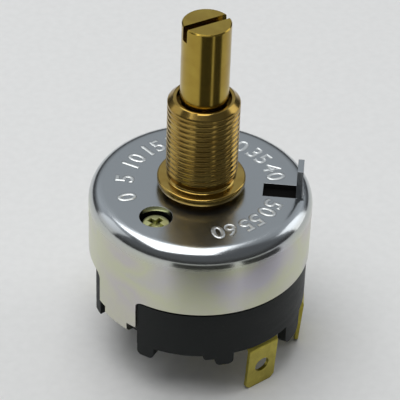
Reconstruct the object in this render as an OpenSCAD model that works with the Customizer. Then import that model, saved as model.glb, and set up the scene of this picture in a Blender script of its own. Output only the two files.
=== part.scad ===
// Five-position rotary switch with a threaded panel bushing and blade terminals.
// Millimetres, +Z up along the shaft, origin at the centre of the cover's top face,
// +X towards the locating tab that keeps the switch from turning in its panel.

/* [Cover] */
// Outer diameter of the drawn sheet cover
cover_d = 30; // [28:0.5:34]
// Height of the cover's wall, from its top face to its open edge
cover_h = 10; // [9:0.5:14]
// Thickness of the cover's sheet
sheet_t = 0.8; // [0.6:0.1:1]
// Outside radius of the rounded top edge
cover_edge_r = 2.2; // [1.6:0.1:2.2]
// Width of the crimp tabs that hold the base
crimp_w = 7.3; // [5:0.1:8]
// Width of the lip folded in under the base at the end of a crimp tab
crimp_lip_w = 4.4; // [3:0.1:5]
// How far the folded lip reaches in from the cover's outer face
crimp_lip_reach = 2; // [1.7:0.1:2.2]
// Height of the corners cut away from a crimp tab beside its lip
crimp_corner_h = 0.8; // [0.4:0.1:1.2]
// Radius of the fillet where a crimp tab meets the cover's edge
crimp_fillet_r = 0.9; // [0.5:0.1:1.2]
// Distance of the screw and its access hole from the shaft axis
screw_r = 9.2; // [9:0.1:9.6]
// Diameter of the screw's access hole
access_hole_d = 4.4; // [4:0.1:4.8]

/* [Locating tab] */
// Distance of the tab's inner face from the cover's outer face
locator_inset = 2.3; // [2.1:0.1:3]
// Width of the tab and of the slot it was cut from
locator_w = 2.75; // [2:0.05:3.5]
// Height of the tab above the cover's face
locator_h = 4.4; // [3:0.1:6]
// Inside radius of the bend at the tab's foot
locator_bend_r = 0.2; // [0.1:0.05:0.4]

/* [Bushing] */
// Thread diameter of the bushing
thread_d = 9.525; // [9:0.025:10]
// Height of the bushing's end above the cover's face
bushing_h = 14.35; // [10:0.05:18]
// Diameter of the bushing's flange
flange_d = 11.8; // [11.4:0.1:12.4]
// Thickness of the bushing's flange
flange_t = 0.95; // [0.7:0.05:1.6]
// Diameter of the narrower collar that carries the flange
collar_d = 9.4; // [9.2:0.1:9.8]
// Height of the collar under the flange
collar_h = 0.85; // [0.4:0.05:1.2]
// Length of the plain neck between the flange and the thread
neck_h = 1.2; // [1:0.1:3]
// How far the neck lies below the thread's crests
neck_relief = 0.35; // [0.2:0.05:0.5]
// Size of the chamfer at the thread's end
thread_chamfer = 0.75; // [0.3:0.05:0.9]
// Diameter of the counterbore in the bushing's mouth
mouth_d = 7.1; // [6.8:0.1:7.6]
// Depth of the counterbore in the bushing's mouth
mouth_depth = 1.6; // [0.8:0.1:2.4]
// Diameter of the spigot that passes through the cover and the index plate
spigot_d = 8.2; // [7.8:0.1:8.8]
// How far the spigot's end is spread outwards under the index plate
stake_flare = 0.5; // [0.3:0.1:0.8]
// Height of the spread end of the spigot
stake_h = 0.6; // [0.4:0.1:0.9]

/* [Shaft] */
// Diameter of the shaft
shaft_d = 6.35; // [6:0.05:6.4]
// Height of the shaft's end above the cover's face
shaft_h = 25.7; // [20:0.1:40]
// Size of the chamfer at the shaft's end
shaft_chamfer = 0.15; // [0.1:0.05:0.6]
// How far the shaft's full diameter reaches down into the bushing's mouth
shoulder_depth = 0.1; // [0.1:0.1:0.6]
// How far the journal inside the bushing is turned below the shaft's surface
journal_relief = 0.2; // [0.16:0.01:0.25]
// Width of the screwdriver slot
driver_slot_w = 1; // [0.8:0.1:1.4]
// Depth of the screwdriver slot
driver_slot_depth = 2; // [1:0.1:3]
// Direction of the screwdriver slot at rest, from +X
driver_slot_az = 35; // [0:1:180]
// Distance between the two drive flats at the shaft's lower end
drive_flats = 4.8; // [4.2:0.1:5.4]
// Depth of the retaining ring's groove
groove_depth = 0.55; // [0.4:0.05:0.7]
// Thickness of the retaining ring
ring_t = 0.6; // [0.4:0.1:0.8]
// Outer diameter of the retaining ring and of the thrust washer
ring_d = 9.4; // [8.6:0.1:10]
// Opening angle of the retaining ring
ring_gap_angle = 70; // [50:5:100]
// Thickness of the thrust washer
washer_t = 0.4; // [0.3:0.1:0.6]

/* [Base] */
// How far the moulded base lies inside the cover's outer face
base_inset = 0.2; // [0.1:0.05:0.8]
// Height of the moulded base below the cover's edge
base_h = 7.4; // [7:0.1:10]
// Thickness of the base's floor
floor_t = 2.6; // [2:0.1:3]
// Thickness of the base's wall inside the cover
wall_t = 2; // [1.6:0.1:2.2]
// Height of the material that a folded lip grips
grip_h = 5.4; // [4.6:0.1:5.5]
// Height of the groove under the cover's edge
groove_h = 0.4; // [0.3:0.1:1.2]
// Depth of the flat on the base's side
flat_depth = 1.15; // [0.4:0.05:1.2]
// Radius of the two posts that stop the rotor
post_r = 2.2; // [2:0.1:2.4]
// Radius of the pip that locates the index plate
pip_r = 1.2; // [0.8:0.1:1.5]
// Width of the ribs between the terminals
rib_w = 2.5; // [1.6:0.1:2.7]
// Height of the ribs between the terminals
rib_h = 1.8; // [1.4:0.1:2.6]
// Angle by which the front rib is turned towards the common terminal
rib_turn = 2; // [0:0.5:3]
// Width of the low step beside the front rib
step_w = 1.6; // [0.8:0.1:1.8]
// Height of the low step beside the front rib
step_h = 0.7; // [0.4:0.1:1.2]
// Width of the tall key that a connector is guided by
key_w = 4; // [3:0.1:4.5]
// Height of the tall key
key_h = 3.4; // [2.6:0.1:5]
// Depth of the tall key along the radius
key_depth = 1.3; // [1:0.1:2.4]
// Radius of the rounded lower corners of the ribs
rib_corner_r = 0.7; // [0.3:0.1:0.8]
// Radius of the rounded lower corners of the key
key_corner_r = 1.2; // [0.6:0.1:1.4]

/* [Terminals] */
// Thickness of the terminal strip
strip_t = 0.5; // [0.4:0.1:0.8]
// How far a blade's outer face stands out beyond the base
blade_out = 0.05; // [0:0.05:0.4]
// Width of a blade
blade_w = 4.8; // [4.6:0.1:5.4]
// Length of a blade below the base's floor
blade_l = 7.8; // [6.4:0.1:10]
// Size of the chamfers at a blade's end
blade_chamfer = 0.6; // [0.4:0.1:1.5]
// Angle by which a blade leans in towards the axis
blade_lean = 4; // [0:1:8]
// Diameter of the hole in a blade
blade_hole_d = 2.3; // [1.6:0.1:2.6]
// Height of the hole's centre above the blade's end
blade_hole_up = 3.6; // [3:0.05:4]
// Inside radius of the bend between leg and blade
blade_bend_r = 0.4; // [0.3:0.1:0.6]
// Width of the leg that lies under the base
leg_w = 4; // [3.4:0.1:4.2]
// Length of the wide shoulder at the leg's outer end
shoulder_l = 3.2; // [2.5:0.1:3.5]
// How far a leg reaches inwards past its rivet
leg_end = 2; // [1.7:0.1:2.1]

/* [Contacts] */
// Angle from one switch position to the next
detent_step = 50; // [46:1:52]
// Distance of the fixed contacts from the base's inner wall
contact_inset = 3.7; // [3.3:0.1:4.1]
// Radius of a fixed contact's head
contact_head_r = 1.6; // [1.3:0.1:1.7]
// Height of a fixed contact's head
contact_head_h = 0.8; // [0.5:0.1:1]
// Radius of a fixed contact's shank
contact_shank_r = 1.1; // [0.8:0.1:1.2]
// Height of a fixed contact's formed tail
contact_tail_h = 0.6; // [0.4:0.1:0.8]
// How far the formed tail spreads beyond the shank
contact_tail_spread = 0.5; // [0.3:0.1:0.7]
// Width of the contact bridge
bridge_w = 3.2; // [2.8:0.1:3.2]
// Thickness of the contact bridge
bridge_t = 0.8; // [0.6:0.1:1]
// Radius of the contact buttons under the bridge
button_r = 1.2; // [0.9:0.1:1.3]
// Height of the contact buttons under the bridge
button_h = 0.75; // [0.5:0.05:1]
// Outer diameter of the contact spring
contact_spring_d = 3.1; // [2.8:0.1:3.2]
// Wire diameter of the contact spring
contact_wire_d = 0.5; // [0.4:0.05:0.6]
// Depth of the contact spring's pocket in the rotor
contact_spring_depth = 2.4; // [2:0.1:2.8]

/* [Rotor and detent] */
// Radius of the rotor's hub
hub_r = 6.2; // [5.8:0.1:6.2]
// Gap between the end of the rotor's arm and the base's inner wall
arm_end_gap = 0.9; // [0.7:0.1:1.1]
// Width of the rotor's arm
arm_w = 5; // [4.8:0.1:5.4]
// Diameter of the detent ball
ball_d = 3; // [2.6:0.1:3.2]
// Distance of the detent ball's path from the base's inner wall
ball_inset = 3.1; // [2.9:0.1:3.3]
// How far the ball rises into a detent hole
ball_rise = 0.35; // [0.2:0.05:0.4]
// Thickness of the index plate
plate_t = 0.8; // [0.6:0.1:1]
// Thickness of the insulating disc under the cover
insulator_t = 1.2; // [1.1:0.1:1.5]
// Outer diameter of the detent spring
ball_spring_d = 2.6; // [2.2:0.1:2.8]
// Wire diameter of the detent spring
ball_wire_d = 0.4; // [0.3:0.05:0.5]

/* [Screw] */
// Diameter of the screw's head
screw_head_d = 3.8; // [3.6:0.1:4.2]
// Height of the screw's head
screw_head_h = 0.95; // [0.8:0.05:1.2]
// Diameter of the screw's shank
screw_d = 2.8; // [2.2:0.1:3]
// Length of the screw below its head
screw_l = 7; // [5:0.5:9]

/* [Clearances] */
// Radial clearance of the shaft in the bushing
running_clear = 0.02; // [0.01:0.01:0.04]
// Radial clearance of a part that is fixed in a hole
seat_clear = 0.05; // [0.02:0.01:0.1]
// Gap between the stopped arm and its post
stop_gap = 0.3; // [0.2:0.05:0.5]
// Axial gap between sliding faces
face_gap = 0.05; // [0.02:0.01:0.1]
// Gap between the arm and the index plate
arm_gap = 0.2; // [0.1:0.05:0.4]

/* [Hidden] */

$fn = 96;
cut = 0.1;                 // how far a cutting shape runs past the face it opens

// Heights, from the cover's face down
cover_r = cover_d / 2;
inner_r = cover_r - sheet_t;
insulator_top = -sheet_t;
plate_top = insulator_top - insulator_t;
plate_bottom = plate_top - plate_t;
stake_bottom = plate_bottom - stake_h;
washer_top = stake_bottom - face_gap;
ring_top = washer_top - washer_t - face_gap;
ring_bottom = ring_top - ring_t;
hub_top = ring_bottom - 2 * arm_gap;
arm_top = plate_bottom - arm_gap;
base_bottom = -cover_h - base_h;
floor_top = base_bottom + floor_t;
lip_top = -cover_h - grip_h;
lip_bottom = lip_top - sheet_t;
head_top = floor_top + contact_head_h;
button_bottom = head_top + face_gap;
bridge_bottom = button_bottom + button_h;
bridge_top = bridge_bottom + bridge_t;
bridge_float = 0.6;        // travel that lets the bridge settle on its contacts
channel_top = bridge_top + bridge_float;
rotor_bottom = bridge_bottom + bridge_t / 2;   // the arm's cheeks overlap the bridge's edges
web_t = 0.7;               // least thickness left between two pockets of the rotor
shaft_bottom = channel_top + contact_spring_depth + web_t;
ball_centre_z = plate_bottom - face_gap - ball_d / 2;
ball_bottom = ball_centre_z - ball_d / 2;
ball_seat_depth = ball_rise - face_gap + 2 * seat_clear;   // cap of the ball in a detent hole
detent_hole_r = sqrt(pow(ball_d / 2, 2) - pow(ball_d / 2 - ball_seat_depth, 2));
ball_pocket_bottom = channel_top + 2 * web_t;

// Layout around the axis
screw_az = 235.6;          // the screw lies beside the arm's rest position
stop_angle = asin((arm_w / 2 + stop_gap + post_r) / screw_r);
rest_az = screw_az - stop_angle;               // the arm's direction in the off position
positions = 4;             // live positions beside the off position
last_az = rest_az - positions * detent_step;
stop_az = last_az - stop_angle;
common_az = last_az - detent_step;
crimp_az = [-132.5, last_az + detent_step / 2, last_az + 2.5 * detent_step];

journal_r = shaft_d / 2 - journal_relief;
locator_r = cover_r - locator_inset;
base_r = cover_r - base_inset;
blade_r = base_r + blade_out;
bore_wall_r = inner_r - 2 * seat_clear;        // outside of the base within the cover
cavity_r = bore_wall_r - wall_t;
contact_r = cavity_r - contact_inset;
ball_r = cavity_r - ball_inset;
arm_reach = cavity_r - arm_end_gap;
notch_r = cover_r - crimp_lip_reach - 2 * seat_clear;
notch_w = crimp_w + 4 * seat_clear;
flat_az = 184;             // the flat lies beside the front crimp tab
bridge_end_r = contact_r + bridge_w / 2;
contact_spring_r = bridge_end_r / 2 - 0.9;     // clear of the ball's pocket

// Direction of the arm and of the contact that it meets in a live position
function live_az(n) = rest_az - n * detent_step;

// Disc whose upper edge is rounded
module rounded_disc(r, h, edge_r) {
    rotate_extrude() {
        square([r - edge_r, h]);
        square([r, h - edge_r]);
        translate([r - edge_r, h - edge_r]) circle(edge_r);
    }
}

// Ring between two radii and two heights
module ring(r_in, r_out, z_low, z_high) {
    translate([0, 0, z_low]) difference() {
        cylinder(r = r_out, h = z_high - z_low);
        translate([0, 0, -cut]) cylinder(r = r_in, h = z_high - z_low + 2 * cut);
    }
}

// Upright cylinder between two heights, at a distance and a direction from the axis
module upright(r, z_low, z_high, at = 0, az = 0) {
    rotate([0, 0, az]) translate([at, 0, z_low]) cylinder(r = r, h = z_high - z_low);
}

// Block along a radius: from r_in to r_out, w wide, between two heights
module radial_block(r_in, r_out, w, z_low, z_high) {
    translate([r_in, -w / 2, z_low]) cube([r_out - r_in, w, z_high - z_low]);
}

// Turns a flat outline drawn as tangent and height into a slab along the radius
module along_radius(r_in, r_out) {
    translate([r_in, 0, 0]) rotate([90, 0, 90]) linear_extrude(r_out - r_in) children();
}

// Flat strip with a round inner end, from x = 0 towards +X
module round_ended(length, w) {
    circle(d = w);
    translate([0, -w / 2]) square([length, w]);
}

// Closed round wire wound as an open coil, standing on z_low
module coil(outer_d, wire_d, z_low, z_high, turns) {
    sides = 8;
    steps_per_turn = 20;
    steps = turns * steps_per_turn;
    wind_r = (outer_d - wire_d) / 2;
    rise = z_high - z_low - wire_d;
    points = [for (i = [0:steps], k = [0:sides - 1])
        let (a = 360 * i / steps_per_turn, b = 360 * k / sides, r = wind_r + wire_d / 2 * cos(b))
        [r * cos(a), r * sin(a), z_low + wire_d / 2 + rise * i / steps + wire_d / 2 * sin(b)]];
    faces = concat(
        [[for (k = [0:sides - 1]) k]],
        [for (i = [0:steps - 1], k = [0:sides - 1])
            let (a = i * sides + k, b = i * sides + (k + 1) % sides)
            [a, a + sides, b + sides, b]],
        [[for (k = [0:sides - 1]) steps * sides + sides - 1 - k]]);
    polyhedron(points = points, faces = faces, convexity = 10);
}

// Outline of a crimp tab with fillets at its root
module crimp_outline() {
    translate([-crimp_w / 2, lip_bottom - cut]) square([crimp_w, sheet_t + grip_h + 2 * cut]);
    for (side = [-1, 1]) scale([side, 1]) translate([crimp_w / 2, -cover_h - crimp_fillet_r])
        difference() {
            translate([-cut, 0]) square([crimp_fillet_r + cut, crimp_fillet_r + cut]);
            translate([crimp_fillet_r, -seat_clear]) circle(crimp_fillet_r);
        }
}

// Section of the cover: top, wall and the folded lip at the crimp tabs' ends
module cover_section() {
    edge_r = cover_edge_r - sheet_t;
    difference() {
        union() {
            translate([0, lip_top]) square([cover_r, -lip_top - cover_edge_r]);
            translate([0, lip_top]) square([cover_r - cover_edge_r, -lip_top]);
            translate([cover_r - cover_edge_r, -cover_edge_r]) circle(cover_edge_r);
            translate([inner_r, lip_top]) circle(sheet_t);
            translate([cover_r - crimp_lip_reach, lip_bottom]) square([crimp_lip_reach - sheet_t, sheet_t]);
        }
        translate([0, lip_top]) square([inner_r, -lip_top - sheet_t - edge_r]);
        translate([0, lip_top]) square([inner_r - edge_r, -lip_top - sheet_t]);
        translate([inner_r - edge_r, -sheet_t - edge_r]) circle(edge_r);
    }
}

// What is blanked away between the crimp tabs, and beside the lips
module crimp_windows() {
    difference() {
        upright(cover_d, lip_bottom - cut, -cover_h);
        for (az = crimp_az) rotate([0, 0, az]) along_radius(0, cover_d + cut) crimp_outline();
    }
    corner_top = lip_top + crimp_corner_h;
    difference() {
        upright(cover_d, lip_bottom - cut, corner_top);
        for (az = crimp_az) rotate([0, 0, az])
            radial_block(0, cover_d + cut, crimp_lip_w, lip_bottom - 2 * cut, corner_top + cut);
    }
}

module locator() {
    bend_out = locator_bend_r + sheet_t;
    radial_block(locator_r, locator_r + sheet_t, locator_w, locator_bend_r, locator_h);
    intersection() {
        translate([locator_r + bend_out, locator_w / 2, locator_bend_r]) rotate([90, 0, 0]) difference() {
            cylinder(r = bend_out, h = locator_w);
            translate([0, 0, -cut]) cylinder(r = locator_bend_r, h = locator_w + 2 * cut);
        }
        radial_block(locator_r, locator_r + bend_out, locator_w, -sheet_t, locator_bend_r);
    }
}

module cover() {
    slot_in = locator_r - (locator_h - sheet_t) - sheet_t;
    slot_out = locator_r + locator_bend_r + sheet_t;
    color([0.66, 0.68, 0.68]) {
        difference() {
            rotate_extrude() cover_section();
            crimp_windows();
            upright(spigot_d / 2 + seat_clear, -sheet_t - cut, cut);
            upright(access_hole_d / 2, -sheet_t - cut, cut, screw_r, screw_az);
            radial_block(slot_in, slot_out, locator_w, -cover_edge_r, cut);
        }
        locator();
    }
}

module insulator() {
    color([0.12, 0.12, 0.13]) difference() {
        upright(cover_r - cover_edge_r, plate_top, insulator_top);
        upright(spigot_d / 2 + seat_clear, plate_top - cut, insulator_top + cut);
        upright(screw_head_d / 2 + 6 * seat_clear, plate_top - cut, insulator_top + cut, screw_r, screw_az);
    }
}

module index_plate() {
    color([0.55, 0.56, 0.57]) difference() {
        upright(inner_r - 6 * seat_clear, plate_bottom, plate_top);
        upright(spigot_d / 2 + seat_clear, plate_bottom - cut, plate_top + cut);
        upright(screw_d / 2 + seat_clear, plate_bottom - cut, plate_top + cut, screw_r, screw_az);
        upright(pip_r + seat_clear, plate_bottom - cut, plate_top + cut, screw_r, stop_az);
        for (n = [0:positions])
            upright(detent_hole_r, plate_bottom - cut, plate_top + cut, ball_r, live_az(n));
    }
}

module bushing() {
    thread_r = thread_d / 2;
    flange_r = flange_d / 2;
    neck_r = thread_r - neck_relief;
    edge = 0.25;                                     // chamfer around the flange
    flange_top = collar_h + flange_t;
    thread_start = flange_top + neck_h;
    color([0.72, 0.56, 0.25]) difference() {
        union() {
            upright(spigot_d / 2, plate_bottom, 0);
            translate([0, 0, stake_bottom])
                cylinder(r1 = spigot_d / 2 + stake_flare, r2 = spigot_d / 2, h = stake_h);
            upright(collar_d / 2, 0, collar_h);
            upright(flange_r, collar_h, flange_top - edge);
            translate([0, 0, flange_top - edge]) cylinder(r1 = flange_r, r2 = flange_r - edge, h = edge);
            translate([0, 0, flange_top]) cylinder(r1 = neck_r + neck_relief, r2 = neck_r, h = neck_relief);
            upright(neck_r, flange_top, thread_start);
            translate([0, 0, thread_start - neck_relief])
                cylinder(r1 = neck_r, r2 = thread_r, h = neck_relief);
            upright(thread_r, thread_start, bushing_h - thread_chamfer);
            translate([0, 0, bushing_h - thread_chamfer])
                cylinder(r1 = thread_r, r2 = thread_r - thread_chamfer, h = thread_chamfer);
        }
        upright(journal_r + running_clear, stake_bottom - cut, bushing_h + cut);
        upright(mouth_d / 2, bushing_h - mouth_depth, bushing_h + cut);
    }
}

// Drive section: a round bar with two flats, along the arm
module drive_section(clear) {
    intersection() {
        circle(r = journal_r + clear);
        square([shaft_d + 1, drive_flats + 2 * clear], center = true);
    }
}

module shaft() {
    r = shaft_d / 2;
    journal_top = bushing_h - shoulder_depth;
    color([0.76, 0.60, 0.30]) difference() {
        union() {
            upright(journal_r, hub_top, journal_top);
            upright(r, journal_top, shaft_h - shaft_chamfer);
            translate([0, 0, shaft_h - shaft_chamfer])
                cylinder(r1 = r, r2 = r - shaft_chamfer, h = shaft_chamfer);
            rotate([0, 0, rest_az]) translate([0, 0, shaft_bottom])
                linear_extrude(hub_top - shaft_bottom + cut) drive_section(0);
        }
        ring(journal_r - groove_depth, r + 1, ring_bottom - face_gap, ring_top + face_gap);
        rotate([0, 0, driver_slot_az]) translate([0, 0, shaft_h])
            cube([shaft_d + 1, driver_slot_w, 2 * driver_slot_depth], center = true);
    }
}

module thrust_washer() {
    color([0.75, 0.75, 0.74])
        ring(journal_r + 2 * seat_clear, ring_d / 2, washer_top - washer_t, washer_top);
}

module retaining_ring() {
    seat_r = journal_r - groove_depth + seat_clear;
    color([0.35, 0.36, 0.38]) rotate([0, 0, rest_az + ring_gap_angle / 2]) translate([0, 0, ring_bottom])
        rotate_extrude(angle = 360 - ring_gap_angle)
            translate([seat_r, 0]) square([ring_d / 2 - seat_r, ring_t]);
}

module rotor() {
    color([0.82, 0.78, 0.66]) rotate([0, 0, rest_az]) difference() {
        union() {
            upright(hub_r, rotor_bottom, hub_top);
            intersection() {
                union() {
                    radial_block(0, arm_reach, arm_w, rotor_bottom, hub_top);
                    radial_block(spigot_d / 2 + stake_flare + 2 * arm_gap, arm_reach, arm_w,
                                 hub_top - cut, arm_top);
                }
                upright(arm_reach, rotor_bottom, arm_top);
            }
        }
        translate([0, 0, shaft_bottom - face_gap])
            linear_extrude(hub_top - shaft_bottom + 1) drive_section(seat_clear);
        upright(ball_d / 2 + 2 * seat_clear, ball_pocket_bottom, arm_top + cut, ball_r);
        radial_block(-bridge_w / 2 - seat_clear, arm_reach + cut, bridge_w + 2 * seat_clear,
                     rotor_bottom - cut, channel_top);
        upright(contact_spring_d / 2 + 2 * seat_clear, channel_top - cut,
                channel_top + contact_spring_depth, contact_spring_r);
    }
}

module detent_ball() {
    color([0.80, 0.81, 0.82]) rotate([0, 0, rest_az]) translate([ball_r, 0, ball_centre_z])
        sphere(d = ball_d);
}

module detent_spring() {
    color([0.45, 0.46, 0.48]) rotate([0, 0, rest_az]) translate([ball_r, 0, 0])
        coil(ball_spring_d, ball_wire_d, ball_pocket_bottom + face_gap, ball_bottom - face_gap, 6);
}

module contact_bridge() {
    color([0.78, 0.48, 0.32]) rotate([0, 0, rest_az]) translate([0, 0, bridge_bottom])
        linear_extrude(bridge_t) {
            round_ended(contact_r, bridge_w);
            translate([contact_r, 0]) circle(d = bridge_w);
        }
}

module bridge_buttons() {
    color([0.84, 0.84, 0.82]) for (at = [0, contact_r])
        upright(button_r, button_bottom, bridge_bottom, at, rest_az);
}

module contact_spring() {
    color([0.45, 0.46, 0.48]) rotate([0, 0, rest_az]) translate([contact_spring_r, 0, 0])
        coil(contact_spring_d, contact_wire_d, bridge_top + face_gap,
             channel_top + contact_spring_depth - face_gap, 4);
}

// Outline of a rib under the base, with rounded lower corners
module rib_outline(w, h, c) {
    translate([-w / 2, base_bottom - h + c]) square([w, h - c + cut]);
    translate([-w / 2 + c, base_bottom - h]) square([w - 2 * c, h]);
    for (side = [-1, 1]) translate([side * (w / 2 - c), base_bottom - h + c]) circle(c);
}

// One rib under the floor, in a direction from the axis
module rib(az, r_in, w, h, aside = 0, corner_r = rib_corner_r) {
    rotate([0, 0, az]) along_radius(r_in, cover_r) translate([aside, 0]) rib_outline(w, h, corner_r);
}

// Ribs between the terminals, low step and key, trimmed to the base's outline
module ribs() {
    half = detent_step / 2;
    front_az = common_az - half + rib_turn;
    inner = contact_r + contact_head_r;
    outer = base_r - floor_t;
    intersection() {
        union() {
            for (n = [0:positions - 2]) rib(last_az + n * detent_step + half, inner, rib_w, rib_h);
            rib(front_az, inner, rib_w, rib_h);
            rib(front_az, outer, step_w + 2 * cut, step_h, cut - (rib_w + step_w) / 2, step_h / 2);
            rib(common_az + half, base_r - key_depth, key_w, key_h, 0, key_corner_r);
            rib(crimp_az[0] + asin((notch_w + rib_w) / 2 / base_r), outer, rib_w, rib_h);
        }
        upright(base_r, base_bottom - key_h - cut, floor_top);
    }
}

module base() {
    color([0.07, 0.08, 0.08]) difference() {
        union() {
            difference() {
                union() {
                    upright(base_r, base_bottom, -cover_h - groove_h);
                    upright(bore_wall_r, -cover_h - groove_h - cut, plate_bottom);
                }
                upright(cavity_r, floor_top, plate_bottom + cut);
            }
            upright(post_r, floor_top - cut, plate_bottom, screw_r, screw_az);
            upright(post_r, floor_top - cut, plate_bottom, screw_r, stop_az);
            upright(pip_r, plate_bottom - cut, plate_top - face_gap, screw_r, stop_az);
            ribs();
        }
        for (az = crimp_az) rotate([0, 0, az]) {
            intersection() {
                ring(bore_wall_r - seat_clear, cover_r + cut, lip_top - cut, -cover_h + cut);
                radial_block(0, cover_d, notch_w, lip_top - 2 * cut, -cover_h + 2 * cut);
            }
            intersection() {
                ring(notch_r, cover_r + cut, base_bottom - key_h, lip_top);
                radial_block(0, cover_d, notch_w, base_bottom - key_h, lip_top);
            }
        }
        rotate([0, 0, flat_az])
            radial_block(base_r - flat_depth, cover_r, cover_d, base_bottom - key_h, -cover_h);
        upright(screw_d / 2 + seat_clear, plate_top - screw_l - 1, plate_bottom + cut, screw_r, screw_az);
        upright(contact_shank_r + seat_clear, base_bottom - cut, floor_top + cut);
        for (n = [1:positions])
            upright(contact_shank_r + seat_clear, base_bottom - cut, floor_top + cut,
                    contact_r, live_az(n));
    }
}

module plate_screw() {
    recess_w = 0.75;
    edge = 0.35;                                     // rounding of the pan head
    color([0.72, 0.70, 0.42]) rotate([0, 0, screw_az]) translate([screw_r, 0, plate_top]) difference() {
        union() {
            rounded_disc(screw_head_d / 2, screw_head_h, edge);
            translate([0, 0, -screw_l]) cylinder(d = screw_d, h = screw_l + cut);
        }
        for (a = [0, 90]) rotate([0, 0, a]) translate([0, 0, screw_head_h])
            cube([screw_head_d * 0.6, recess_w, 1.4], center = true);
    }
}

// Side view of a terminal's shoulder, bend and leaning blade, drawn as distance and height
module terminal_side() {
    bend_out = strip_t + blade_bend_r;
    start = blade_bend_r - shoulder_l;
    leaning_l = blade_l / cos(blade_lean);
    translate([blade_r - bend_out, base_bottom - bend_out]) {
        difference() {
            translate([start, 0]) square([-start, bend_out]);
            translate([start - cut, -cut]) square([cut - start, blade_bend_r + cut]);
        }
        difference() {
            circle(bend_out);
            circle(blade_bend_r);
            translate([-2 * bend_out, -bend_out]) square([2 * bend_out, blade_bend_r + bend_out]);
            rotate(-blade_lean) translate([-bend_out, -2 * bend_out])
                square([blade_bend_r + bend_out, 2 * bend_out]);
        }
        rotate(-blade_lean) translate([blade_bend_r, bend_out - leaning_l])
            square([strip_t, leaning_l - bend_out]);
    }
}

// Blade terminal along +X: leg under the base, bend, blade with hole and chamfered end
module terminal(inner_end) {
    blade_end = base_bottom - blade_l;
    side = blade_w / 2;
    tip = side - blade_chamfer;
    lean = blade_l * sin(blade_lean);
    color([0.70, 0.62, 0.28]) difference() {
        union() {
            translate([inner_end + leg_w / 2, 0, base_bottom - strip_t]) linear_extrude(strip_t)
                round_ended(blade_r - shoulder_l / 2 - inner_end - leg_w / 2, leg_w);
            intersection() {
                rotate([90, 0, 0]) linear_extrude(blade_w, center = true) terminal_side();
                along_radius(0, blade_r + cut) polygon([
                    [-side, base_bottom + cut], [-side, blade_end + blade_chamfer], [-tip, blade_end],
                    [tip, blade_end], [side, blade_end + blade_chamfer], [side, base_bottom + cut]]);
            }
        }
        upright(contact_shank_r + seat_clear, base_bottom - strip_t - cut, base_bottom + cut,
                inner_end + leg_end);
        translate([blade_r - strip_t - lean, 0, blade_end + blade_hole_up]) rotate([0, 90, 0])
            cylinder(d = blade_hole_d, h = strip_t + lean + cut);
    }
}

module live_terminal(n) rotate([0, 0, live_az(n)]) terminal(contact_r - leg_end);
module terminal_common() rotate([0, 0, common_az]) terminal(-leg_end);
module terminal_1() live_terminal(1);
module terminal_2() live_terminal(2);
module terminal_3() live_terminal(3);
module terminal_4() live_terminal(4);

// Fixed contact: head on the floor, shank through base and terminal, formed tail
module contact(at, az) {
    tail_top = base_bottom - strip_t;
    color([0.80, 0.74, 0.62]) {
        upright(contact_head_r, floor_top, head_top, at, az);
        upright(contact_shank_r, tail_top, floor_top, at, az);
        upright(contact_shank_r + contact_tail_spread, tail_top - contact_tail_h, tail_top, at, az);
    }
}

module contact_common() contact(0, common_az);
module contact_1() contact(contact_r, live_az(1));
module contact_2() contact(contact_r, live_az(2));
module contact_3() contact(contact_r, live_az(3));
module contact_4() contact(contact_r, live_az(4));

cover();
insulator();
index_plate();
bushing();
shaft();
thrust_washer();
retaining_ring();
rotor();
detent_ball();
detent_spring();
contact_bridge();
bridge_buttons();
contact_spring();
base();
plate_screw();
terminal_common();
terminal_1();
terminal_2();
terminal_3();
terminal_4();
contact_common();
contact_1();
contact_2();
contact_3();
contact_4();
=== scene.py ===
"""Looks for the rotary switch: materials, cut thread, stamped scale, floor, light and camera."""

import math

import bmesh
import bpy
from mathutils import Matrix, Vector


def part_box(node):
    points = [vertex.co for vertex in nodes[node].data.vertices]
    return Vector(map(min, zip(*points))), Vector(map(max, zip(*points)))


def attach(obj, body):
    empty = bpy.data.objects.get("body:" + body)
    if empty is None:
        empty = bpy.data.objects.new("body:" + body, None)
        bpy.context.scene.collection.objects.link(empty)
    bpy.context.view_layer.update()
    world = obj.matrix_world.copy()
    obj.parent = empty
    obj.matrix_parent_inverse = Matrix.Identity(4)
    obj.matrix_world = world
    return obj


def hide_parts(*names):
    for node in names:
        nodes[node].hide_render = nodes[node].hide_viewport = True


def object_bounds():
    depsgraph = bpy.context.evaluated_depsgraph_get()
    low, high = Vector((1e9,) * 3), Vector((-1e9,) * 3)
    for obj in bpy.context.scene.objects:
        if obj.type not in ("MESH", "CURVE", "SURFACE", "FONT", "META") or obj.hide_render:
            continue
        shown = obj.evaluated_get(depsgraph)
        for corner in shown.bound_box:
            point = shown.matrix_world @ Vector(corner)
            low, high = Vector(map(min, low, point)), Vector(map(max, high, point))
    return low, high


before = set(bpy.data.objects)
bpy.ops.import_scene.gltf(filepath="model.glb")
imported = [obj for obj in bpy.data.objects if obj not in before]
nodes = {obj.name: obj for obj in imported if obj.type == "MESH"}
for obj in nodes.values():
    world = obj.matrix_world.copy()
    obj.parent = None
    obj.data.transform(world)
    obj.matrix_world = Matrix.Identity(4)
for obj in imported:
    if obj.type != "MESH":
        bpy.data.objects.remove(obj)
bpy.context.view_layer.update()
MM = 0.001
scene = bpy.context.scene


# ---------------------------------------------------------------- node helpers

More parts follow.
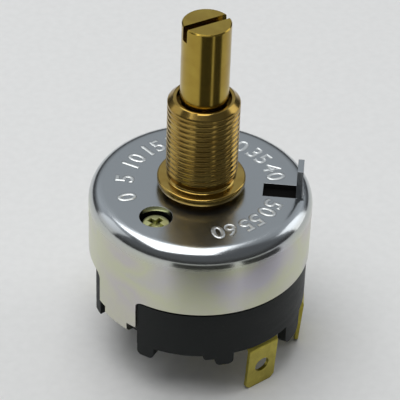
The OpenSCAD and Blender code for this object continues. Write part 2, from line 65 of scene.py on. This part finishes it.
class Nodes:
    """A node tree with short calls for the nodes used here."""

    def __init__(self, tree):
        self.tree = tree

    def node(self, kind, inputs=None, **settings):
        made = self.tree.nodes.new(kind)
        for key, value in settings.items():
            setattr(made, key, value)
        for key, value in (inputs or {}).items():
            self.feed(made, key, value)
        return made

    def feed(self, node, key, value):
        if isinstance(value, bpy.types.NodeSocket):
            self.tree.links.new(value, node.inputs[key])
        else:
            node.inputs[key].default_value = value

    def math(self, operation, a, b=0.0):
        return self.node("ShaderNodeMath", {0: a, 1: b}, operation=operation).outputs[0]

    def remap(self, value, low, high, to_low=0.0, to_high=1.0, **settings):
        made = self.node("ShaderNodeMapRange", {"Value": value, "From Min": low, "From Max": high,
                                                "To Min": to_low, "To Max": to_high}, **settings)
        return made.outputs["Result"]

    def ramp(self, value, stops):
        made = self.node("ShaderNodeValToRGB", {"Fac": value})
        elements = made.color_ramp.elements
        while len(elements) < len(stops):
            elements.new(0.5)
        for element, (at, colour) in zip(elements, stops):
            element.position = at
            element.color = (*colour, 1.0)
        return made.outputs["Color"]


class Mat(Nodes):
    """A material around one principled shader, whose own sockets are set by name."""

    def __init__(self, name, **shader):
        self.mat = bpy.data.materials.new(name)
        self.mat.use_nodes = True
        super().__init__(self.mat.node_tree)
        self.shader = self.tree.nodes["Principled BSDF"]
        for key, value in shader.items():
            self.shader.inputs[key.replace("_", " ")].default_value = value

    def coords(self, scale=(1.0, 1.0, 1.0)):
        """Object coordinates in millimetres, stretched by scale."""
        place = self.node("ShaderNodeTexCoord").outputs["Object"]
        size = tuple(s / MM for s in scale)
        return self.node("ShaderNodeVectorMath", {0: place, 1: size}, operation="MULTIPLY").outputs[0]

    def rings(self, stretch):
        """Distance from the part's axis and height, stretched: noise on them runs round the axis."""
        split = self.node("ShaderNodeSeparateXYZ", {0: self.coords()})
        flat = self.node("ShaderNodeCombineXYZ", {"X": split.outputs["X"], "Y": split.outputs["Y"]})
        length = self.node("ShaderNodeVectorMath", {0: flat.outputs[0]}, operation="LENGTH")
        r = self.math("MULTIPLY", length.outputs["Value"], stretch)
        z = self.math("MULTIPLY", split.outputs["Z"], stretch)
        return self.node("ShaderNodeCombineXYZ", {"X": r, "Y": z}).outputs[0]

    def noise(self, vector, scale=1.0, detail=2.0, rough=0.5, distort=0.0):
        made = self.node("ShaderNodeTexNoise", {"Vector": vector, "Scale": scale, "Detail": detail,
                                                "Roughness": rough, "Distortion": distort})
        return made.outputs["Fac"]

    def mix(self, fac, a, b):
        made = self.node("ShaderNodeMix", data_type="RGBA")
        for key, value in (("Factor", fac), ("A", a), ("B", b)):
            socket = next(s for s in made.inputs if s.name == key and s.enabled)
            if isinstance(value, bpy.types.NodeSocket):
                self.tree.links.new(value, socket)
            else:
                socket.default_value = (*value, 1.0) if isinstance(value, tuple) else value
        return next(s for s in made.outputs if s.enabled)

    def bump(self, height, depth, under):
        made = self.node("ShaderNodeBump", {"Height": height, "Distance": depth * MM, "Normal": under})
        return made.outputs["Normal"]

    def edges(self, radius, samples=8):
        """Normal that rounds sharp edges by a small radius."""
        return self.node("ShaderNodeBevel", {"Radius": radius * MM}, samples=samples).outputs["Normal"]

    def cavity(self, reach, samples=12):
        """1 in the open, towards 0 inside a slot or a gap narrower than the reach."""
        made = self.node("ShaderNodeAmbientOcclusion", {"Distance": reach * MM}, samples=samples)
        return made.outputs["AO"]

    def shaded(self, colour, reach, shade, low, high):
        """The colour, sunk towards a painted shade in slots and gaps where little light gets."""
        return self.mix(self.remap(self.cavity(reach), low, high), shade, colour)

    def surface(self, colour, roughness=None, normal=None):
        for key, value in (("Base Color", colour), ("Roughness", roughness), ("Normal", normal)):
            if value is not None:
                self.feed(self.shader, key, value)
        return self.mat


def times(colour, share):
    return tuple(min(1.0, c * share) for c in colour)


# ---------------------------------------------------------------- materials

def turned_metal(name, base, dark, rough, lines=9.0, cut_depth=0.002):
    """Bar stock turned on a lathe: fine rings round the axis, slight stains, painted shade in the gaps."""
    m = Mat(name, Metallic=1.0, Anisotropic=0.4, Anisotropic_Rotation=0.25)
    m.feed(m.shader, "Tangent", m.node("ShaderNodeTangent", direction_type="RADIAL", axis="Z").outputs[0])
    rings = m.noise(m.rings(lines), detail=3.0, rough=0.6)
    stains = m.noise(m.coords(), scale=0.35, detail=4.0, rough=0.6, distort=0.4)
    tone = m.mix(m.remap(stains, 0.35, 0.7), dark, base)
    tone = m.mix(m.remap(rings, 0.3, 0.7, 0.0, 0.2), tone, times(base, 0.75))
    # Painted shade: the colour sinks towards near black in the thread's grooves and other gaps.
    tone = m.shaded(tone, 0.9, times(dark, 0.05), 0.12, 0.55)
    roughness = m.math("ADD", m.remap(stains, 0.3, 0.7, rough + 0.05, rough - 0.02),
                       m.remap(rings, 0.3, 0.7, -0.02, 0.03))
    return m.surface(tone, roughness, m.bump(rings, cut_depth, m.edges(0.05)))


def plated_sheet(name, face, tints, rough=0.23, rim_rough=0.15, wall_rough=0.31):
    """Zinc plate with a thin passivation film: face less glossy and darkened by painted shade, burnished
    rim, drifts of tint down the wall.
    """
    face_low, face_shade_low, rim_top, rim_low, wall_top = -0.02, -0.25, -0.3, -1.8, -2.8
    film_top, film_low = -0.6, -3.0
    # Painted shade: the first share darkens the top face and the last colour sinks slots to near black;
    # the scuffs are real marks.
    face_shade_share, scuffs, scuff_share, painted_slot_shade = 0.74, (0.34, 0.35, 0.34), 0.03, (0.01, 0.01, 0.01)
    m = Mat(name, Metallic=1.0)
    place = m.coords()
    height = m.node("ShaderNodeSeparateXYZ", {0: place}).outputs["Z"]
    drift = m.noise(m.coords((1.0, 1.0, 1.3)), scale=0.075, detail=1.0, rough=0.4, distort=0.4)
    cloud = m.noise(place, scale=0.8, detail=3.0, rough=0.55)
    film = m.ramp(m.remap(m.math("ADD", drift, m.remap(cloud, 0.3, 0.7, -0.02, 0.02)), 0.3, 0.7), tints)
    film = m.mix(m.remap(height, film_low, film_top), film, face)
    # Painted shade: the flat top face is darkened against the rim, in place of a darker reflection.
    film = m.mix(m.remap(height, face_shade_low, face_low), film, times(face, face_shade_share))
    grain = m.noise(m.coords((6.0, 6.0, 1.5)), detail=3.0, rough=0.6)
    film = m.mix(m.remap(grain, 0.35, 0.75, 0.0, scuff_share), film, scuffs)
    # Painted shade: the colour sinks to near black in slots and gaps.
    film = m.shaded(film, 0.6, painted_slot_shade, 0.08, 0.32)
    rim = m.remap(height, face_low, rim_top, rough, rim_rough)
    wall = m.remap(height, rim_low, wall_top, 0.0, wall_rough - rim_rough)
    roughness = m.math("ADD", m.math("ADD", rim, wall), m.remap(cloud, 0.3, 0.7, -0.015, 0.025))
    return m.surface(film, roughness, m.bump(grain, 0.0001, m.edges(0.06)))


def moulded(name, colour, speck, rough=0.5, edge=0.12, depth=0.008, gloss=0.2):
    """Moulded plastic: fine skin texture, flow marks, paler filler specks."""
    m = Mat(name, Specular_IOR_Level=gloss)
    skin = m.noise(m.coords(), scale=5.0, detail=4.0, rough=0.6)
    flow = m.noise(m.coords((0.25, 0.25, 1.2)), scale=0.6, detail=3.0, distort=0.7)
    dots = m.remap(m.noise(m.coords(), scale=9.0, detail=1.0), 0.68, 0.76)
    tone = m.mix(m.remap(flow, 0.3, 0.7), colour, times(colour, 1.3))
    tone = m.mix(dots, tone, speck)
    roughness = m.math("ADD", m.remap(flow, 0.3, 0.7, rough - 0.05, rough + 0.06),
                       m.remap(skin, 0.3, 0.7, -0.03, 0.04))
    return m.surface(tone, roughness, m.bump(skin, depth, m.edges(edge)))


def strip_metal(name, base, dark, rough=0.34, edge=0.08):
    """Rolled or formed metal: streaks, faint tarnish, painted shade in recesses, worn edges."""
    m = Mat(name, Metallic=1.0)
    streak = m.noise(m.coords((5.0, 5.0, 0.5)), detail=3.0, rough=0.6)
    tarnish = m.noise(m.coords(), scale=0.55, detail=4.0, rough=0.65, distort=0.5)
    tone = m.mix(m.remap(tarnish, 0.35, 0.7), base, dark)
    tone = m.mix(m.remap(streak, 0.3, 0.75, 0.0, 0.25), tone, times(base, 1.2))
    # Painted shade: the colour sinks towards a dark tone in recesses and slots.
    tone = m.shaded(tone, 0.7, times(dark, 0.08), 0.2, 0.65)
    roughness = m.math("ADD", m.remap(tarnish, 0.3, 0.7, rough - 0.04, rough + 0.08),
                       m.remap(streak, 0.3, 0.7, -0.02, 0.03))
    return m.surface(tone, roughness, m.bump(streak, 0.002, m.edges(edge)))


ZINC = plated_sheet("zinc_film", (0.52, 0.55, 0.57), [
    (0.0, (0.56, 0.54, 0.59)), (0.22, (0.59, 0.58, 0.53)), (0.42, (0.61, 0.62, 0.46)),
    (0.60, (0.61, 0.60, 0.50)), (0.78, (0.59, 0.56, 0.55)), (1.0, (0.61, 0.62, 0.48))])
STAMPED = strip_metal("stamped_zinc", (0.62, 0.64, 0.64), (0.52, 0.54, 0.54), rough=0.38, edge=0.04)
BUSHING_BRASS = turned_metal("bushing_brass", (0.44, 0.31, 0.085), (0.34, 0.215, 0.05), 0.15)
SHAFT_BRASS = turned_metal("shaft_brass", (0.45, 0.325, 0.062), (0.37, 0.25, 0.046), 0.19, lines=14.0)
BASE_BLACK = moulded("base_moulding", (0.0095, 0.0115, 0.011), (0.028, 0.031, 0.030))
STRIP_BRASS = strip_metal("strip_brass", (0.50, 0.43, 0.08), (0.36, 0.30, 0.058))
SCREW_PLATE = strip_metal("screw_plate", (0.70, 0.71, 0.36), (0.54, 0.55, 0.27), edge=0.05)
STEEL = strip_metal("steel", (0.50, 0.50, 0.51), (0.38, 0.37, 0.36))
BALL_STEEL = strip_metal("ball_steel", (0.62, 0.63, 0.64), (0.52, 0.52, 0.53), rough=0.14)
SPRING_STEEL = strip_metal("spring_steel", (0.42, 0.42, 0.43), (0.30, 0.29, 0.28), edge=0.02)
COPPER = strip_metal("copper", (0.72, 0.40, 0.26), (0.50, 0.26, 0.17))
SILVER = strip_metal("silver", (0.78, 0.78, 0.76), (0.60, 0.59, 0.56), edge=0.05)
CONTACT_METAL = strip_metal("contact_metal", (0.66, 0.58, 0.42), (0.50, 0.42, 0.28), edge=0.05)
ROTOR_PLASTIC = moulded("rotor_plastic", (0.62, 0.58, 0.46), (0.50, 0.46, 0.36), edge=0.1, gloss=0.4)
FIBRE = moulded("fibre", (0.004, 0.004, 0.004), (0.012, 0.011, 0.010), rough=0.8, edge=0.05, gloss=0.05)

FINISH = {
    "cover": ZINC, "insulator": FIBRE, "index_plate": STEEL, "bushing": BUSHING_BRASS,
    "shaft": SHAFT_BRASS, "thrust_washer": STEEL, "retaining_ring": SPRING_STEEL,
    "rotor": ROTOR_PLASTIC, "detent_ball": BALL_STEEL, "detent_spring": SPRING_STEEL,
    "contact_bridge": COPPER, "bridge_buttons": SILVER, "contact_spring": SPRING_STEEL,
    "base": BASE_BLACK, "plate_screw": SCREW_PLATE,
}
for name, obj in nodes.items():
    if name.startswith("terminal"):
        finish = STRIP_BRASS
    elif name.startswith("contact_") and name not in FINISH:
        finish = CONTACT_METAL
    else:
        finish = FINISH[name]
    obj.data.materials.clear()
    obj.data.materials.append(finish)


# ---------------------------------------------------------------- pieces

def new_piece(name, mesh, material, body, replaces):
    obj = bpy.data.objects.new(name, mesh)
    scene.collection.objects.link(obj)
    mesh.materials.clear()
    mesh.materials.append(material)
    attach(obj, body)
    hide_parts(*replaces)
    return obj


def smooth(mesh, angle):
    for face in mesh.polygons:
        face.use_smooth = True
    mesh.set_sharp_from_angle(angle=math.radians(angle))


def threaded_bushing():
    """Bushing with a cut right-hand thread: a helical band between two turned ends."""
    steps = 96
    pitch = 25.4 / 32
    crest, neck, depth = 4.7625, 4.4125, 0.17
    chamfer, run_out, break_edge = 0.75, 0.5, 0.06
    bore, mouth, spigot, spread, collar, flange = 2.995, 3.55, 4.1, 4.6, 4.7, 5.9
    low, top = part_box("bushing")
    z_end, z_stake = top.z / MM, low.z / MM
    z_plate, z_collar, z_flange, z_neck, z_mouth = -2.8, 0.85, 1.8, 2.65, z_end - 1.6
    flange_round = ((0.0, 0.25), (0.04, 0.14), (0.14, 0.04), (0.25, 0.0))
    neck_foot = ((0.35, 0.0), (0.16, 0.06), (0.05, 0.2), (0.0, 0.35))
    groove, cuts = 0.6, 10
    profile = [(0.0, 0.0)] + [((1 - groove) / 2 + groove * k / cuts,
                               0.5 - 0.5 * math.cos(2 * math.pi * k / cuts)) for k in range(cuts + 1)]
    turns = math.ceil((z_end - z_neck) / pitch) + 3
    bm = bmesh.new()

    def point(r, z, step):
        a = 2 * math.pi * step / steps
        return bm.verts.new((r * math.cos(a) * MM, r * math.sin(a) * MM, z * MM))

    def thread_r(z, cutaway):
        fade = min(1.0, max(0.0, (z_end - chamfer - z) / run_out))
        r = crest - depth * cutaway * fade
        return min(r, neck + (z - z_neck), crest - (z - (z_end - chamfer)))

    def lathe(outline):
        last = None
        for r, z in outline:
            ring = [point(r, z, step) for step in range(steps)]
            if last:
                for i in range(steps):
                    j = (i + 1) % steps
                    bm.faces.new((last[i], last[j], ring[j], ring[i]))
            last = ring

    band = []
    for step in range(steps * turns + 1):
        column = []
        for share, cutaway in profile:
            z = z_neck - pitch + pitch * (step / steps + share)
            if z <= z_neck:
                column.append(point(neck, z_neck, step))
            elif z >= z_end:
                column.append(point(crest - chamfer, z_end, step))
            else:
                column.append(point(thread_r(z, cutaway), z, step))
        band.append(column)
    for step in range(steps * turns):
        a, b = band[step], band[step + 1]
        for k in range(len(profile) - 1):
            bm.faces.new((a[k], b[k], b[k + 1], a[k + 1]))
        if step + 1 + steps < len(band):
            c, d = band[step + steps], band[step + 1 + steps]
            bm.faces.new((a[-1], b[-1], d[0], c[0]))

    lathe([(crest - chamfer, z_end), (mouth + break_edge, z_end), (mouth, z_end - break_edge),
           (mouth, z_mouth), (bore, z_mouth), (bore, z_stake),
           (spread - break_edge, z_stake), (spread, z_stake + break_edge),
           (spigot, z_plate), (spigot, 0.0), (collar, 0.0), (collar, z_collar),
           (flange - break_edge, z_collar), (flange, z_collar + break_edge)]
          + [(flange - inward, z_flange - down) for inward, down in flange_round]
          + [(neck + outward, z_flange + up) for outward, up in neck_foot]
          + [(neck, z_neck)])
    bmesh.ops.remove_doubles(bm, verts=bm.verts, dist=1e-6)
    bmesh.ops.dissolve_degenerate(bm, edges=bm.edges, dist=1e-6)
    bmesh.ops.recalc_face_normals(bm, faces=bm.faces)
    mesh = bpy.data.meshes.new("bushing_turned")
    bm.to_mesh(mesh)
    bm.free()
    smooth(mesh, 50.0)
    return new_piece("threaded_bushing", mesh, BUSHING_BRASS, "housing", ["bushing"])


def figure_grooves(values):
    """The scale's figures as one closed mesh, set round the shaft with their feet inward."""
    figure_r, figure_size, spacing = 10.1, 3.4, 1.05
    stroke_edge, stroke_offset, groove_slope, lift = 0.20, -0.08, 0.35, 0.01
    zero_az, turn_per_unit = 202.68, 4.5
    labels = []
    for value in values:
        az = math.radians(zero_az - value * turn_per_unit)
        curve = bpy.data.curves.new(f"figure_{value}", "FONT")
        curve.body = str(value)
        curve.align_x, curve.align_y = "CENTER", "CENTER"
        curve.size = figure_size * MM
        curve.space_character = spacing
        curve.offset = stroke_offset * MM
        curve.bevel_depth = stroke_edge * MM
        curve.bevel_resolution = 0
        curve.resolution_u = 3
        label = bpy.data.objects.new(f"figure_{value}", curve)
        scene.collection.objects.link(label)
        place = Vector((figure_r * math.cos(az), figure_r * math.sin(az), lift)) * MM
        turn = Matrix.Rotation(az - math.pi / 2, 4, "Z") @ Matrix.Diagonal((1.0, 1.0, groove_slope, 1.0))
        label.matrix_world = Matrix.Translation(place) @ turn
        labels.append(label)
    bpy.context.view_layer.update()
    depsgraph = bpy.context.evaluated_depsgraph_get()
    joined = bmesh.new()
    for label in labels:
        part = bpy.data.meshes.new_from_object(label.evaluated_get(depsgraph))
        part.transform(label.matrix_world)
        joined.from_mesh(part)
        bpy.data.meshes.remove(part)
    bmesh.ops.remove_doubles(joined, verts=joined.verts, dist=1e-7)
    mesh = bpy.data.meshes.new("figures")
    joined.to_mesh(mesh)
    joined.free()
    for label in labels:
        bpy.data.objects.remove(label)
    mesh.materials.append(STAMPED)
    return mesh


def stamped_cover():
    """The cover with a plain number scale stamped into its face; its slot takes one figure's place."""
    slot_value = 45
    mesh = nodes["cover"].data.copy()
    mesh.name = "cover_stamped"
    bm = bmesh.new()
    bm.from_mesh(mesh)
    bmesh.ops.remove_doubles(bm, verts=bm.verts, dist=1e-7)
    bmesh.ops.dissolve_limit(bm, angle_limit=math.radians(0.5), verts=bm.verts, edges=bm.edges)
    bm.to_mesh(mesh)
    bm.free()
    obj = new_piece("stamped_cover", mesh, ZINC, "housing", ["cover"])
    cutter = bpy.data.objects.new("figures", figure_grooves(v for v in range(0, 61, 5) if v != slot_value))
    scene.collection.objects.link(cutter)
    modifier = obj.modifiers.new("stamp", "BOOLEAN")
    modifier.object = cutter
    modifier.operation = "DIFFERENCE"
    modifier.solver = "EXACT"
    modifier.use_self = True
    modifier.material_mode = "TRANSFER"
    bpy.context.view_layer.update()
    depsgraph = bpy.context.evaluated_depsgraph_get()
    stamped = bpy.data.meshes.new_from_object(obj.evaluated_get(depsgraph))
    obj.modifiers.clear()
    obj.data = stamped
    bpy.data.objects.remove(cutter)
    smooth(stamped, 12.0)
    sides = {}
    for face in stamped.polygons:
        if face.material_index:
            face.use_smooth = False
        for key in face.edge_keys:
            sides.setdefault(key, set()).add(face.material_index)
    for edge in stamped.edges:
        edge.use_edge_sharp = edge.use_edge_sharp or len(sides[edge.key]) > 1
    return obj


threaded_bushing()
stamped_cover()


# ---------------------------------------------------------------- floor, light, camera

CAMERA_AZ = 4.0


def towards(azimuth, elevation):
    """Unit vector from the part; azimuth counts in degrees from the camera's side, to the right."""
    a, e = math.radians(CAMERA_AZ + azimuth), math.radians(elevation)
    return Vector((math.sin(a) * math.cos(e), -math.cos(a) * math.cos(e), math.sin(e)))


def flat_piece(name, corners, material):
    mesh = bpy.data.meshes.new(name)
    mesh.from_pydata(corners, [], [(0, 1, 2, 3)])
    mesh.materials.append(material)
    obj = bpy.data.objects.new(name, mesh)
    scene.collection.objects.link(obj)
    return obj


def matt_sheet(name, low, high, scale, detail):
    """Matt paper or felt, a little uneven between two tones."""
    m = Mat(name, Roughness=0.9)
    return m.surface(m.mix(m.remap(m.noise(m.coords(), scale=scale, detail=detail), 0.3, 0.7), low, high))


floor_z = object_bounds()[0].z
half = 3.0
floor = flat_piece("floor", [(-half, -half, floor_z), (half, -half, floor_z), (half, half, floor_z),
                             (-half, half, floor_z)],
                   matt_sheet("pale_paper", (0.80, 0.80, 0.79), (0.83, 0.83, 0.82), 0.8, 4.0))


def softbox(name, azimuth, elevation, size, power, distance=0.60):
    """Rectangular soft light that looks at the part."""
    light = bpy.data.lights.new(name, "AREA")
    light.shape = "RECTANGLE"
    light.size, light.size_y = size
    light.energy = power
    obj = bpy.data.objects.new(name, light)
    scene.collection.objects.link(obj)
    back = towards(azimuth, elevation)
    obj.location = back * distance
    obj.rotation_mode = "QUATERNION"
    obj.rotation_quaternion = back.to_track_quat("Z", "Y")


softbox("key", -90, 79, (0.62, 0.50), 2.7)
softbox("left", -100, 22, (0.30, 0.50), 0.3)
softbox("right", 112, 20, (0.24, 0.50), 0.5)

FELT = matt_sheet("dark_felt", (0.03, 0.03, 0.03), (0.05, 0.05, 0.05), 1.2, 3.0)


def dark_card(name, turn, half_angle):
    """Wedge of black felt on the floor, seen in reflections alone: it gives the brass its dark bands."""
    near, far, lift = 42 * MM, 200 * MM, 0.3 * MM
    up = Vector((0.0, 0.0, floor_z + lift))
    corners = [towards(turn + side * half_angle, 0.0) * reach + up
               for reach, side in ((near, -1), (near, 1), (far, 1), (far, -1))]
    card = flat_piece(name, corners, FELT)
    card.visible_camera = card.visible_diffuse = card.visible_shadow = False


dark_card("card_front", 4, 26)
dark_card("card_right", 57, 19)

# The room: pale behind and above the part, dark on the camera's side and along the horizon.
scene.world = bpy.data.worlds.new("studio")
scene.world.use_nodes = True
room = Nodes(scene.world.node_tree)
direction = room.node("ShaderNodeTexCoord").outputs["Generated"]
facing = room.node("ShaderNodeVectorMath", {0: direction, 1: tuple(towards(0.0, 0.0))},
                   operation="DOT_PRODUCT").outputs["Value"]
upward = room.node("ShaderNodeSeparateXYZ", {0: direction}).outputs["Z"]
behind = room.remap(facing, 0.3, -0.7, interpolation_type="SMOOTHSTEP")
raised = room.remap(upward, 0.12, 0.52, 0.05, interpolation_type="SMOOTHSTEP")
in_front = room.remap(upward, 0.1, 0.5, 0.02, 0.15, interpolation_type="SMOOTHSTEP")
share = room.math("MAXIMUM", room.math("MULTIPLY", behind, raised), in_front)
shade = room.ramp(share, [(0.0, (0.045, 0.045, 0.047)), (1.0, (0.56, 0.59, 0.62))])
room.feed(room.tree.nodes["Background"], "Color", shade)

elevation, roll, distance = 38.178, 2.12, 261.63 * MM
aim = Vector((-0.06, 0.0, -2.65)) * MM
camera = bpy.data.objects.new("camera", bpy.data.cameras.new("camera"))
scene.collection.objects.link(camera)
camera.data.lens, camera.data.sensor_width = 175.6, 36.0
camera.data.clip_start, camera.data.clip_end = 0.01, 20.0
back = towards(0.0, elevation)
camera.location = aim + back * distance
camera.rotation_mode = "QUATERNION"
camera.rotation_quaternion = (Matrix.Rotation(math.radians(roll), 3, back)
                              @ (-back).to_track_quat("-Z", "Y").to_matrix()).to_quaternion()
scene.camera = camera
scene.view_settings.view_transform = "Standard"
